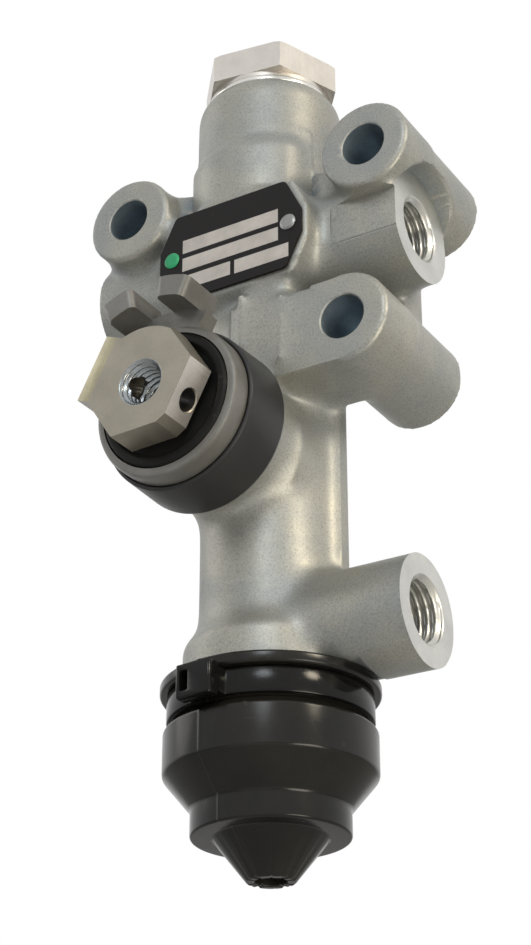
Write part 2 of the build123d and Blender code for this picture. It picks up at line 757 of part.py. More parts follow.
def exhaust_boot():
    groove_top = boot_top_z - boot_rim_height
    groove_bottom = groove_top - boot_groove_height
    cylinder_top = groove_bottom - boot_shoulder_height
    floor_z = boot_neck_bottom_z + boot_wall
    return turned([
        (foot_radius + seat_gap, boot_top_z), (boot_rim_radius, boot_top_z), (boot_rim_radius, groove_top),
        (boot_groove_radius, groove_top), (boot_groove_radius, groove_bottom), (boot_radius, cylinder_top),
        (boot_radius, boot_cylinder_bottom_z), (boot_neck_radius, boot_neck_top_z),
        (boot_neck_radius, boot_neck_bottom_z), (nozzle_root_radius, boot_neck_bottom_z),
        (nozzle_tip_radius, nozzle_tip_z), (nozzle_bore_radius, nozzle_tip_z),
        (nozzle_bore_radius, floor_z), (boot_neck_radius - boot_wall, floor_z),
        (boot_neck_radius - boot_wall, boot_neck_top_z), (boot_radius - boot_wall, boot_cylinder_bottom_z),
        (boot_radius - boot_wall, foot_bottom_z - seat_gap), (foot_radius + seat_gap, foot_bottom_z - seat_gap),
        (foot_radius + seat_gap, boot_bead_bottom_z + seat_gap),
        (boot_bead_radius + seat_gap, boot_bead_bottom_z + seat_gap),
        (boot_bead_radius + seat_gap, boot_bead_top_z - seat_gap),
        (foot_radius + seat_gap, boot_bead_top_z - seat_gap),
    ])


def cable_tie():
    top = boot_top_z - boot_rim_height - (boot_groove_height - tie_width) / 2
    inner = boot_groove_radius + seat_gap
    outer = inner + tie_thickness
    band = tube(outer, inner, top - tie_width, top)
    middle = top - tie_width / 2
    # the head stands clear of the boot's rims on a neck that stays inside the groove
    head_start = boot_rim_radius + rubber_gap
    neck = Pos((outer + head_start) / 2, 0) * Box(head_start - inner, tie_head_width, tie_width)
    head = Pos(head_start + tie_head_depth / 2, 0) * Box(tie_head_depth, tie_head_width, tie_head_height)
    head = fillet(head.edges().filter_by(Axis.Z).group_by(Axis.X)[-1], tie_thickness / 2)
    slot = Pos(head_start + tie_head_depth / 2, -tie_slot_offset) * Box(
        tie_head_depth, tie_slot_width, tie_slot_height)
    return band + BARREL * Pos(0, 0, middle) * Rot(0, 0, tie_head_turn) * (neck + head - slot)


liner_ring_set = [ring_on_barrel(liner_radius, height) for height in liner_ring_heights]
pieces = {
    "housing": housing(),
    "top_plug": top_plug(),
    "plug_seal": plug_seal(),
    "return_spring": return_spring(),
    "valve_liner": valve_liner(),
    "liner_rings": Compound(children=liner_ring_set),
    "valve_spool": valve_spool(),
    "lever_shaft": lever_shaft(),
    "crank_pin": crank_pin(),
    "shaft_bush": shaft_bush(),
    "shaft_ring": shaft_ring(),
    "stop_collar": stop_collar(),
    "dust_seal": dust_seal(),
    "boss_sleeve": boss_sleeve(),
    "nameplate": nameplate(),
    "rivet_left": rivet(rivet_places()[0]),
    "rivet_right": rivet(rivet_places()[1]),
    "outlet_strainer": outlet_strainer(),
    "snap_ring": snap_ring(),
    "exhaust_boot": exhaust_boot(),
    "cable_tie": cable_tie(),
}
for name, height in spool_ring_heights.items():
    pieces[name] = ring_on_barrel(spool_radius - running_gap, height)

os.makedirs("parts", exist_ok=True)
for name, shape in pieces.items():
    export_step(shape, f"parts/{name}.step")
    print(name, round(shape.volume), "mm3")
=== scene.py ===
import math
import bmesh
import bpy
import numpy as np
from mathutils import Matrix, Vector


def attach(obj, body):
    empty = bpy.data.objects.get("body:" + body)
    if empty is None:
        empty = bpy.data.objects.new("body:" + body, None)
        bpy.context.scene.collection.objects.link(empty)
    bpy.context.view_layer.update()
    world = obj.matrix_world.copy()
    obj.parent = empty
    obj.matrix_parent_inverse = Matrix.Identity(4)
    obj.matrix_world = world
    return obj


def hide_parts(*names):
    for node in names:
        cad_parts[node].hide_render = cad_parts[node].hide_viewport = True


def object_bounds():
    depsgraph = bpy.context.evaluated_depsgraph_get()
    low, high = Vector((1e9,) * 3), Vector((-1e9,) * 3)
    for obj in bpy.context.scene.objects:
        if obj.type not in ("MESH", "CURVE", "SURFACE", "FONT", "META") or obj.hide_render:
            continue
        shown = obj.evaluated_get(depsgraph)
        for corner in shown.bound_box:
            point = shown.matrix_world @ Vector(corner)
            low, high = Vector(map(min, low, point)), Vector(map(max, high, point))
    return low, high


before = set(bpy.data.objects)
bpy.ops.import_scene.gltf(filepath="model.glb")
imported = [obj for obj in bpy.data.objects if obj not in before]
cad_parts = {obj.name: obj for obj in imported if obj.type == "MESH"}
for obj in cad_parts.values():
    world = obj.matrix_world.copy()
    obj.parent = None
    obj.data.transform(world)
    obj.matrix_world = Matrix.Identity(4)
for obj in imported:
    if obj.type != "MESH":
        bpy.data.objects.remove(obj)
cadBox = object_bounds()
mm = 0.001
fullTurn = 2 * math.pi
print("frame loaded with", len(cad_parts), "nodes")


# lengths are in millimetres down to the stage, which is in metres, like the lamps and the camera
places = {
    "barrel": (-3.2, -15, 0), "shaft": (-5.1, 0, -52), "service": (0, -16.5, -12.45),
    "supply": (0, -15, -86), "rod": (-5.1, -49.85, -52), "duct": (6.6, -15), "shoulder": (-3.9, -53.9),
}
toRight, toLeft, toFront, upward = (1, 0, 0), (-1, 0, 0), (0, -1, 0), (0, 0, 1)


def axisFrame(origin, along, across):
    # local z runs along the axis, and angles start at local x
    z = Vector(along).normalized()
    x = Vector(across).normalized()
    turn = Matrix((x, z.cross(x), z)).transposed().to_4x4()
    return Matrix.Translation(Vector(origin) * mm) @ turn


barrel = axisFrame(places["barrel"], upward, toRight)
shaft = axisFrame(places["shaft"], toFront, toRight)
rightPort = axisFrame(places["service"], toRight, upward)
leftPort = axisFrame(places["service"], toLeft, upward)
supplyPort = axisFrame(places["supply"], toRight, upward)
rodAxis = axisFrame(places["rod"], (0.887, 0, -0.4617), (0, 1, 0))
rodWay = rodAxis.to_3x3().col[2]


def forwardAxis(x, z):
    return axisFrame((x, 0, z), toFront, toRight)


def uprightAxis(x, y):
    return axisFrame((x, y, 0), upward, toRight)


# mesh helpers
def meshFrom(name, verts, faces, place):
    mesh = bpy.data.meshes.new(name)
    mesh.from_pydata([tuple(v) for v in verts], [], faces)
    mesh.transform(Matrix.Scale(mm, 4))
    mesh.transform(place)
    form = bmesh.new()
    form.from_mesh(mesh)
    bmesh.ops.recalc_face_normals(form, faces=form.faces)
    form.to_mesh(mesh)
    form.free()
    return mesh


def roundedOutline(points, steps=4):
    # a point's third number, where it has one, is the radius of its rounded corner
    outline = []
    for index, point in enumerate(points):
        here = Vector(point[:2])
        radius = point[2] if len(point) > 2 else 0
        if not radius:
            outline.append(tuple(here))
            continue
        before = (Vector(points[index - 1][:2]) - here).normalized()
        after = (Vector(points[(index + 1) % len(points)][:2]) - here).normalized()
        half = before.angle(after) / 2
        centre = here + (before + after).normalized() * radius / math.sin(half)
        first = here + before * radius / math.tan(half) - centre
        last = here + after * radius / math.tan(half) - centre
        begin = math.atan2(first.y, first.x)
        sweep = (math.atan2(last.y, last.x) - begin + math.pi) % fullTurn - math.pi
        for step in range(steps + 1):
            angle = begin + sweep * step / steps
            outline.append((centre.x + radius * math.cos(angle), centre.y + radius * math.sin(angle)))
    return outline


def turnedMesh(name, points, place, segments=128, steps=4):
    # closed form turned about the frame's axis, from points of radius and height
    verts, rings, faces = [], [], []
    for radius, height in roundedOutline(points, steps):
        if radius == 0:
            rings.append([len(verts)] * segments)
            verts.append((0, 0, height))
            continue
        rings.append(list(range(len(verts), len(verts) + segments)))
        for step in range(segments):
            angle = fullTurn * step / segments
            verts.append((radius * math.cos(angle), radius * math.sin(angle), height))
    for here, there in zip(rings, rings[1:] + rings[:1]):
        if here[0] == here[1] and there[0] == there[1]:
            continue
        for step in range(segments):
            after = (step + 1) % segments
            corners = (here[step], here[after], there[after], there[step])
            faces.append(tuple(dict.fromkeys(corners)))
    return meshFrom(name, verts, faces, place)


def rod(radius, low, high, place, segments=96):
    return turnedMesh("rod", [(0, low), (radius, low), (radius, high), (0, high)], place, segments)


def settle(piece):
    # modifiers become the mesh itself
    graph = bpy.context.evaluated_depsgraph_get()
    mesh = bpy.data.meshes.new_from_object(piece.evaluated_get(graph))
    piece.modifiers.clear()
    piece.data = mesh


def looseObject(name, mesh):
    piece = bpy.data.objects.new(name, mesh)
    bpy.context.scene.collection.objects.link(piece)
    return piece


def carve(piece, cutters):
    for cutter in cutters:
        tool = looseObject("cutter", cutter)
        cut = piece.modifiers.new("cut", "BOOLEAN")
        cut.operation = "DIFFERENCE"
        cut.solver = "MANIFOLD"
        cut.object = tool
        bpy.context.view_layer.update()
        settle(piece)
        bpy.data.objects.remove(tool)


def finishPiece(piece, body, nodes, material, sharp=32):
    mesh = piece.data
    mesh.materials.clear()
    mesh.materials.append(material)
    mesh.polygons.foreach_set("use_smooth", [True] * len(mesh.polygons))
    mesh.set_sharp_from_angle(angle=math.radians(sharp))
    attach(piece, body)
    if nodes:
        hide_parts(*nodes)


# angles in degrees
edgeWork = {"weld": 0.002, "flatness": 1.5, "angle": 28, "weight": 90}


def evenNormals(piece):
    # large flat faces keep their own direction beside the rounded edges
    weigh = piece.modifiers.new("weigh", "WEIGHTED_NORMAL")
    weigh.keep_sharp = True
    weigh.weight = edgeWork["weight"]
    bpy.context.view_layer.update()
    settle(piece)


def softCopy(name, node, width, segments=2, planes=()):
    # copy of a rigid node, trimmed by planes, with flat faces joined and edges rounded a little
    piece = looseObject(name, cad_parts[node].data.copy())
    form = bmesh.new()
    form.from_mesh(piece.data)
    bmesh.ops.remove_doubles(form, verts=form.verts, dist=edgeWork["weld"] * mm)
    for point, normal in planes:
        every = form.verts[:] + form.edges[:] + form.faces[:]
        cut = bmesh.ops.bisect_plane(
            form, geom=every, plane_co=point, plane_no=normal, clear_outer=True)
        rim = [part for part in cut["geom_cut"] if isinstance(part, bmesh.types.BMEdge)]
        bmesh.ops.holes_fill(form, edges=rim)
    flatness = math.radians(edgeWork["flatness"])
    bmesh.ops.dissolve_limit(form, angle_limit=flatness, verts=form.verts, edges=form.edges)
    form.to_mesh(piece.data)
    form.free()
    edge = piece.modifiers.new("edges", "BEVEL")
    edge.width = width * mm
    edge.segments = segments
    edge.limit_method = "ANGLE"
    edge.angle_limit = math.radians(edgeWork["angle"])
    edge.use_clamp_overlap = True
    edge.miter_outer = "MITER_ARC"
    bpy.context.view_layer.update()
    settle(piece)
    return piece


# shared shader groups
def newGroup(name, inputs, outputs):
    group = bpy.data.node_groups.new(name, "ShaderNodeTree")
    for label, kind, value in inputs:
        socket = group.interface.new_socket(label, in_out="INPUT", socket_type=kind)
        socket.default_value = value
    for label, kind in outputs:
        group.interface.new_socket(label, in_out="OUTPUT", socket_type=kind)
    return group, group.nodes.new("NodeGroupInput"), group.nodes.new("NodeGroupOutput")


def addNode(tree, kind, values=None, **settings):
    node = tree.nodes.new(kind)
    for key, value in settings.items():
        setattr(node, key, value)
    for key, value in (values or {}).items():
        node.inputs[key].default_value = value
    return node


def grey(value):
    return (value, value, value, 1)


def rampMask(tree, source, low, high, falling=False):
    # rises from 0 to 1 between two levels, or falls from 1 to 0
    node = tree.nodes.new("ShaderNodeValToRGB")
    first, last = node.color_ramp.elements
    first.position = low
    first.color = grey(1 if falling else 0)
    last.position = high
    last.color = grey(0 if falling else 1)
    tree.links.new(source, node.inputs["Fac"])
    return node.outputs["Color"]


def grainGroup():
    # cast or moulded skin: a fine height, a blotch mask and small dark pits
    group, given, result = newGroup(
        "skinGrain",
        [("Fine", "NodeSocketFloat", 1800), ("Blotch", "NodeSocketFloat", 90),
         ("Pit", "NodeSocketFloat", 700)],
        [("Height", "NodeSocketFloat"), ("Blotches", "NodeSocketFloat"), ("Pits", "NodeSocketFloat")])
    link = group.links.new
    place = addNode(group, "ShaderNodeTexCoord").outputs["Object"]
    fine = addNode(group, "ShaderNodeTexNoise", {"Detail": 3.0, "Roughness": 0.7})
    blotch = addNode(group, "ShaderNodeTexNoise", {"Detail": 5.0, "Roughness": 0.55})
    pit = addNode(group, "ShaderNodeTexNoise", {"Detail": 1.0, "Roughness": 0.4})
    for texture, label in ((fine, "Fine"), (blotch, "Blotch"), (pit, "Pit")):
        link(place, texture.inputs["Vector"])
        link(given.outputs[label], texture.inputs["Scale"])
    link(fine.outputs["Fac"], result.inputs["Height"])
    link(rampMask(group, blotch.outputs["Fac"], 0.36, 0.66), result.inputs["Blotches"])
    link(rampMask(group, pit.outputs["Fac"], 0.70, 0.78), result.inputs["Pits"])
    return group


def scratchGroup():
    # thin handling scratches in two directions, each a noise that is turned and then drawn out
    group, given, result = newGroup(
        "handlingScratches",
        [("Scale", "NodeSocketFloat", 260), ("Level", "NodeSocketFloat", 0.7)],
        [("Scratches", "NodeSocketFloat")])
    link = group.links.new
    place = addNode(group, "ShaderNodeTexCoord").outputs["Object"]
    sharpness = 12.0
    sums = []
    for turn, stretch in (((0.4, 0.9, 0.2), (1, 0.03, 1)), ((1.3, 0.2, 0.8), (0.03, 1, 1))):
        mapping = addNode(group, "ShaderNodeMapping", {"Rotation": turn, "Scale": stretch})
        texture = addNode(group, "ShaderNodeTexNoise", {"Detail": 2.0, "Roughness": 0.7})
        link(place, mapping.inputs["Vector"])
        link(mapping.outputs["Vector"], texture.inputs["Vector"])
        link(given.outputs["Scale"], texture.inputs["Scale"])
        mask = addNode(group, "ShaderNodeMath", operation="SUBTRACT")
        link(texture.outputs["Fac"], mask.inputs[0])
        link(given.outputs["Level"], mask.inputs[1])
        sharp = addNode(group, "ShaderNodeMath", {1: sharpness}, operation="MULTIPLY", use_clamp=True)
        link(mask.outputs[0], sharp.inputs[0])
        sums.append(sharp.outputs[0])
    total = addNode(group, "ShaderNodeMath", operation="MAXIMUM")
    link(sums[0], total.inputs[0])
    link(sums[1], total.inputs[1])
    link(total.outputs[0], result.inputs["Scratches"])
    return group


def ringGroup():
    # turning marks round an axis: Across keeps the directions square to it
    group, given, result = newGroup(
        "turningMarks",
        [("Centre", "NodeSocketVector", (0, 0, 0)), ("Across", "NodeSocketVector", (1, 1, 0)),
         ("Spacing", "NodeSocketFloat", 9000)],
        [("Height", "NodeSocketFloat")])
    link = group.links.new
    place = addNode(group, "ShaderNodeTexCoord").outputs["Object"]
    shifted = addNode(group, "ShaderNodeVectorMath", operation="SUBTRACT")
    flat = addNode(group, "ShaderNodeVectorMath", operation="MULTIPLY")
    radius = addNode(group, "ShaderNodeVectorMath", operation="LENGTH")
    scaled = addNode(group, "ShaderNodeMath", operation="MULTIPLY")
    texture = addNode(group, "ShaderNodeTexNoise", {"Scale": 1.0, "Detail": 2.0}, noise_dimensions="1D")
    link(place, shifted.inputs[0])
    link(given.outputs["Centre"], shifted.inputs[1])
    link(shifted.outputs[0], flat.inputs[0])
    link(given.outputs["Across"], flat.inputs[1])
    link(flat.outputs[0], radius.inputs[0])
    link(radius.outputs["Value"], scaled.inputs[0])
    link(given.outputs["Spacing"], scaled.inputs[1])
    link(scaled.outputs[0], texture.inputs["W"])
    link(texture.outputs["Fac"], result.inputs["Height"])
    return group


skinGrain, handlingScratches, turningMarks = grainGroup(), scratchGroup(), ringGroup()


def placeGroup(tree, group, **values):
    node = tree.nodes.new("ShaderNodeGroup")
    node.node_tree = group
    for key, value in values.items():
        node.inputs[key].default_value = value
    return node


# the mix node's colour sockets share their names with its other sockets, so they go by number
mixSockets = {"first": 6, "second": 7, "result": 2}


def mixColour(tree, factor, first, second):
    node = addNode(tree, "ShaderNodeMix", data_type="RGBA")
    sockets = (node.inputs["Factor"], node.inputs[mixSockets["first"]], node.inputs[mixSockets["second"]])
    for socket, value in zip(sockets, (factor, first, second)):
        if isinstance(value, bpy.types.NodeSocket):
            tree.links.new(value, socket)
        else:
            socket.default_value = value
    return node.outputs[mixSockets["result"]]


def blendValue(tree, factor, low, high):
    node = addNode(tree, "ShaderNodeMapRange", {"To Min": low, "To Max": high})
    tree.links.new(factor, node.inputs["Value"])
    return node.outputs["Result"]


def layOver(tree, colour, mask, share, wearAndPaintedLight):
    # part of a mask lays a second colour over the first, both for wear and stains and for painted shade
    # and highlights
    return mixColour(tree, blendValue(tree, mask, 0, share), colour, wearAndPaintedLight)


def bump(tree, shader, height, strength, distance):
    node = addNode(tree, "ShaderNodeBump", {"Strength": strength, "Distance": distance})
    tree.links.new(height, node.inputs["Height"])
    tree.links.new(node.outputs["Normal"], shader.inputs["Normal"])


def newMaterial(name, metallic, **sockets):
    material = bpy.data.materials.new(name)
    material.use_nodes = True
    tree = material.node_tree
    shader = tree.nodes["Principled BSDF"]
    shader.inputs["Metallic"].default_value = metallic
    for key, value in sockets.items():
        shader.inputs[key].default_value = value
    return material, tree, shader


def rgb(red, green, blue):
    return (red, green, blue, 1)


# finishes: levels of a mask where it begins and ends, and the share of colour that it lays over
# on the casting the hollow mask lays the valley colour as painted bluish shade in concave creases, the
# ridge mask lays painted highlights on convex edges, and the glint mask lays painted glints on the
# grain's peaks
castLook = {
    "plain": rgb(0.325, 0.318, 0.28), "cool": rgb(0.262, 0.274, 0.27), "valleyShade": rgb(0.175, 0.228, 0.268),
    "dark": rgb(0.16, 0.16, 0.15), "pale": rgb(0.40, 0.40, 0.37), "wearAndPaintedLight": rgb(0.56, 0.55, 0.49),
    "hollowShade": (0.42, 0.495, 0.8), "ridgeHighlight": (0.53, 0.62, 0.4), "mottle": (0.38, 0.48, 0.48),
    "glint": (0.55, 0.66, 0.35), "pitShare": 0.5, "scratchShare": 0.12, "roughness": (0.42, 0.52),
    "metallic": 0.55, "fine": 2900, "blotch": 85, "speck": 2300, "bump": (0.25, 0.00006),
}


def castMaterial():
    look = castLook
    material, tree, shader = newMaterial("castAluminium", look["metallic"])
    grain = placeGroup(tree, skinGrain, Fine=look["fine"], Blotch=look["blotch"], Pit=look["speck"])
    scratches = placeGroup(tree, handlingScratches, Scale=420, Level=0.70)
    height = grain.outputs["Height"]
    colour = mixColour(tree, grain.outputs["Blotches"], look["plain"], look["cool"])
    edge = addNode(tree, "ShaderNodeNewGeometry").outputs["Pointiness"]
    # painted shade in the creases, painted highlights on the convex edges and painted glints on the
    # grain; the mottle, the pits and the scratches are the skin's own tone and wear
    for mask, source, falling, laid in (
            ("hollowShade", edge, True, "valleyShade"), ("ridgeHighlight", edge, False, "wearAndPaintedLight"),
            ("mottle", height, True, "dark"), ("glint", height, False, "pale")):
        low, high, share = look[mask]
        colour = layOver(tree, colour, rampMask(tree, source, low, high, falling), share, look[laid])
    colour = layOver(tree, colour, grain.outputs["Pits"], look["pitShare"], look["dark"])
    colour = layOver(tree, colour, scratches.outputs["Scratches"], look["scratchShare"], look["wearAndPaintedLight"])
    tree.links.new(colour, shader.inputs["Base Color"])
    spread = blendValue(tree, grain.outputs["Blotches"], *look["roughness"])
    tree.links.new(spread, shader.inputs["Roughness"])
    bump(tree, shader, height, *look["bump"])
    return material


machinedLook = {
    "stainShare": 0.6, "mottle": (0.36, 0.5, 0.35), "scratch": rgb(0.7, 0.68, 0.64), "scratchShare": 0.12,
    "smoother": 0.06, "rougher": 0.1, "bump": (0.25, 0.00004),
}


def machinedMaterial(name, colour, stain, centre, across, spacing=7000, roughness=0.3, metallic=0.85):
    # turned or milled metal with fine tool marks, stains and a few scratches
    look = machinedLook
    material, tree, shader = newMaterial(name, metallic)
    grain = placeGroup(tree, skinGrain, Fine=2600, Blotch=170, Pit=1400)
    middle = [number * mm for number in centre]
    marks = placeGroup(tree, turningMarks, Centre=middle, Across=across, Spacing=spacing)
    scratches = placeGroup(tree, handlingScratches, Scale=520, Level=0.70)
    mixed = layOver(tree, colour, grain.outputs["Blotches"], look["stainShare"], stain)
    low, high, share = look["mottle"]
    mixed = layOver(tree, mixed, rampMask(tree, grain.outputs["Height"], low, high, True), share, stain)
    mixed = layOver(tree, mixed, scratches.outputs["Scratches"], look["scratchShare"], look["scratch"])
    tree.links.new(mixed, shader.inputs["Base Color"])
    smooth, rough = roughness - look["smoother"], roughness + look["rougher"]
    spread = blendValue(tree, marks.outputs["Height"], smooth, rough)
    tree.links.new(spread, shader.inputs["Roughness"])
    bump(tree, shader, marks.outputs["Height"], *look["bump"])
    return material


rubberLook = {
    "dustShare": 0.7, "scratch": rgb(0.12, 0.12, 0.11), "scratchShare": 0.2, "smoother": 0.05,
    "rougher": 0.08, "bump": (0.2, 0.00006),
}


def rubberMaterial(name, colour, dusty, roughness, blotch=60, shine=0.2):
    # rubber, plastic or paint with a dusty bloom and a fine skin
    look = rubberLook
    material, tree, shader = newMaterial(name, 0.0)
    shader.inputs["Specular IOR Level"].default_value = shine
    grain = placeGroup(tree, skinGrain, Fine=2200, Blotch=blotch, Pit=1100)
    scratches = placeGroup(tree, handlingScratches, Scale=420, Level=0.71)
    mixed = layOver(tree, colour, grain.outputs["Blotches"], look["dustShare"], dusty)
    mixed = layOver(tree, mixed, scratches.outputs["Scratches"], look["scratchShare"], look["scratch"])
    tree.links.new(mixed, shader.inputs["Base Color"])
    smooth, rough = roughness - look["smoother"], roughness + look["rougher"]
    spread = blendValue(tree, grain.outputs["Blotches"], smooth, rough)
    tree.links.new(spread, shader.inputs["Roughness"])
    bump(tree, shader, grain.outputs["Height"], *look["bump"])
    return material


# what tool marks run round, and the two directions square to it
roundBarrel = {"centre": places["barrel"], "across": (1, 1, 0)}
roundShaft = {"centre": places["shaft"], "across": (1, 0, 1)}
roundPort = {"centre": places["service"], "across": (0, 1, 1)}
roundBolt = {"centre": (25, 0, 0), "across": (1, 0, 1)}

castSkin = castMaterial()
portFinish = machinedMaterial(
    "machinedPortFace", rgb(0.56, 0.56, 0.53), rgb(0.42, 0.42, 0.40), **roundPort)
plugFinish = machinedMaterial(
    "machinedPlug", rgb(0.60, 0.57, 0.53), rgb(0.47, 0.44, 0.40), **roundBarrel, roughness=0.32)
ringFinish = machinedMaterial(
    "polishedRing", rgb(0.72, 0.71, 0.67), rgb(0.5, 0.5, 0.47), **roundBarrel, roughness=0.2)
headFinish = machinedMaterial(
    "leverSteel", rgb(0.315, 0.29, 0.24), rgb(0.235, 0.215, 0.18), **roundShaft, spacing=5000,
    roughness=0.38)
threadFinish = machinedMaterial(
    "threadSteel", rgb(0.36, 0.39, 0.41), rgb(0.17, 0.17, 0.16), **roundShaft, roughness=0.22)
collarFinish = machinedMaterial(
    "sinteredCollar", rgb(0.19, 0.188, 0.178), rgb(0.13, 0.12, 0.105), **roundShaft, spacing=900,
    roughness=0.42, metallic=0.6)
bronzeFinish = machinedMaterial(
    "sinteredBronze", rgb(0.42, 0.27, 0.12), rgb(0.3, 0.19, 0.09), **roundShaft, roughness=0.4)
flatFinish = machinedMaterial(
    "rodFlatSteel", rgb(0.72, 0.69, 0.65), rgb(0.52, 0.49, 0.46), **roundShaft, spacing=3600,
    roughness=0.34)
tabFinish = machinedMaterial(
    "tabBrass", rgb(0.37, 0.34, 0.23), rgb(0.20, 0.185, 0.13), **roundShaft, spacing=3600, roughness=0.34)
bootRubber = rubberMaterial(
    "bootRubber", rgb(0.007, 0.007, 0.0065), rgb(0.017, 0.015, 0.011), 0.2, shine=0.24)
sleeveRubber = rubberMaterial(
    "sleeveRubber", rgb(0.016, 0.016, 0.017), rgb(0.025, 0.025, 0.025), 0.40, shine=0.3)
sealRubber = rubberMaterial(
    "sealRubber", rgb(0.006, 0.006, 0.006), rgb(0.010, 0.010, 0.009), 0.42, shine=0.12)
tiePlastic = rubberMaterial(
    "tiePlastic", rgb(0.005, 0.005, 0.005), rgb(0.008, 0.008, 0.007), 0.15, shine=0.18)
# painted shade: a near-black finish for the cross hole's wall in the lever head
boreShade = rubberMaterial(
    "boreShade", rgb(0.02, 0.019, 0.017), rgb(0.035, 0.03, 0.025), 0.4, blotch=400)
holeShade = machinedMaterial(
    "boltHoleShade", rgb(0.40, 0.49, 0.55), rgb(0.16, 0.19, 0.215), **roundBolt, spacing=2500,
    roughness=0.34, metallic=0.8)
print("finishes made")

# ports, measured along their own axes: side is the way they face, face their end, core the start of the
# filled bore, boss and from the raised boss, drill and into the narrow bore, spot and waste the end's cut
ports = (
    {"name": "portThreadRight", "place": rightPort, "at": places["service"], "side": 1, "face": 29.3,
     "core": 10, "boss": 10.4, "from": 20, "drill": 3.5, "into": 4, "spot": 11.2, "waste": 46},
    {"name": "portThreadLeft", "place": leftPort, "at": places["service"], "side": -1, "face": 34.4,
     "core": 10, "boss": 10.4, "from": 24, "drill": 3.5, "into": 4, "spot": 11.6, "waste": 40},
    {"name": "portThreadSupply", "place": supplyPort, "at": places["supply"], "side": 1, "face": 27.0,
     "core": 5, "boss": 9.9, "from": 18, "drill": 2.5, "into": 8.3, "spot": 11.4, "waste": 34},
)
portBore = {"radius": 6.4, "filler": 6.6, "length": 13.0, "raise": 0.7, "inset": 0.05, "beyond": 1}

# bolt bosses: x, z and depth of their front ends
bolts = ((-25, 0, 31.5), (25, 0, 29.7), (20, -34.6, 29.7))
boltHole = {"radius": 4.25, "filler": 4.6, "edge": 0.25, "beyond": 1, "inset": 0.05}

# casting: how the skin is made and how far it may sink or fill, with stretches that stay firm or soften
casting = {
    "voxel": 0.55, "faces": 170000, "rounds": 64, "pull": 0.5, "fill": 4.0,
    "firmLoss": 0.02, "edgeLoss": 0.12, "softLoss": 0.5, "rear": 0.3,
    "firm": {"foot": -93.4, "neck": 25.4, "shaftRadius": 17, "shaftDepth": 31},
    "soft": ({"across": (-14, 10), "height": (-5, 14), "depth": 28.6},
             {"across": (2, 14), "height": (-30, -20), "depth": 22}),
}
swelling = {"neck": 14.1, "rise": 1.25, "top": 12.6, "slope": 4.2, "bottom": -2.4, "ease": 2.0,
            "side": 66, "fade": 26, "reach": 1.9}
# the right port's boss has a flat front between two levels, with a fine groove under it
portFlat = {"begin": 16.2, "end": 34, "front": 40, "depth": 26.05, "low": -16.6, "high": -8.6,
            "groove": (-0.12, 0.08), "grooveDepth": 0.2}
# fillers for the bores and the forms that only the skin has: radius, both ends
fillers = {
    "neck": (10.4, -20, 26.05), "spool": (8.0, -102.95, -10), "shaft": (8.6, 16, 44.75),
    # the front rib's raised edges: radius, both ends, place
    "ridges": ((1.05, -40, -26, (7.7, -29.35)), (1.05, -35, -24, (-0.4, -29.25))),
    "shoulder": [(0, 18), (13.0, 18), (13.0, 24.6), (11.6, 26.6), (0, 26.6)],
}
# outlines of the turned cuts as radius and height
bores = {
    # plug thread core, liner bore, spool bore and snap ring groove
    "middle": [(0, -104), (6, -104), (6, -95), (6.8, -95), (6.8, -94), (6, -94), (6, -34), (8.05, -34),
               (8.05, 12.1), (10, 12.1), (10, 27.5), (0, 27.5)],
    # shaft bore, and the seats outside the boss for the collar and the sleeve
    "shaft": [(0, 16), (4.8, 16), (4.8, 24), (6, 24), (6, 42.8), (8.3, 42.8), (8.3, 46), (0, 46)],
    "shaftSeat": [(17.5, 31.9), (17.5, 45.6), (12, 45.6), (12, 38), (13, 38), (13, 31.9)],
    # seat of the boot round the foot, with its groove
    "footSeat": [(21, -104), (21, -94.1), (15.3, -94.1), (15.3, -96.8), (14.3, -96.8), (14.3, -100.6),
                 (15.3, -100.6), (15.3, -104)],
    # supply duct beside the barrel
    "duct": [(0, -86), (1.5, -86), (1.5, -25), (0, -25)],
    # end faces as radius and both ends of what is cut off
    "bossEnd": (13.5, 44.8, 47), "footEnd": (30, -106, -103), "neckEnd": (30, 26.1, 30),
}


def plugFillers():
    # solid cores that close the bores while the skin is made
    inset = boltHole["inset"]
    fill = [rod(boltHole["filler"], inset, depth - inset, forwardAxis(x, z), 48) for x, z, depth in bolts]
    for port in ports:
        top = port["face"] - portBore["inset"]
        fill.append(rod(portBore["filler"], port["core"], top, port["place"], 48))
    fill.append(rod(*fillers["neck"], barrel, 64))
    fill.append(rod(*fillers["spool"], barrel, 64))
    fill.append(rod(*fillers["shaft"], shaft, 64))
    # port bosses stand a little longer until their end faces are cut
    for port in ports:
        fill.append(rod(port["boss"], port["from"], port["face"] + portBore["raise"], port["place"], 96))
    # ridges at both edges of the front rib, and the shoulder at the root of the shaft boss
    for radius, low, high, place in fillers["ridges"]:
        fill.append(rod(radius, low, high, uprightAxis(*place), 24))
    fill.append(turnedMesh("shoulder", fillers["shoulder"], forwardAxis(*places["shoulder"]), 96))
    return fill


def easeStep(values):
    values = np.clip(values, 0, 1)
    return values * values * (3 - 2 * values)


def between(values, low, high):
    return (values > low) & (values < high)


def shapeSwelling(points):
    # the neck swells softly towards the nameplate, over its whole front
    look = swelling
    middleX, middleY, _ = places["barrel"]
    across, forward, height = points[:, 0] / mm - middleX, middleY - points[:, 1] / mm, points[:, 2] / mm
    radius, angle = np.hypot(across, forward), np.degrees(np.abs(np.arctan2(across, forward)))
    rise = easeStep((look["top"] - height) / look["slope"])
    rise = rise * easeStep((look["side"] - angle) / look["fade"])
    wanted = look["neck"] + look["rise"] * rise
    inside = between(height, look["bottom"], look["top"] + 1) & (angle < look["side"])
    inside &= np.abs(radius - wanted) < look["reach"]
    share = np.where(inside, easeStep((height - look["bottom"]) / look["ease"]), 0)
    factor = 1 + share * (wanted / np.maximum(radius, 1) - 1)
    points[:, 0] = (across * factor + middleX) * mm
    points[:, 1] = (middleY - forward * factor) * mm


def meshVectors(items, key):
    values = np.empty(len(items) * 3, np.float64)
    items.foreach_get(key, values)
    return values.reshape(-1, 3)


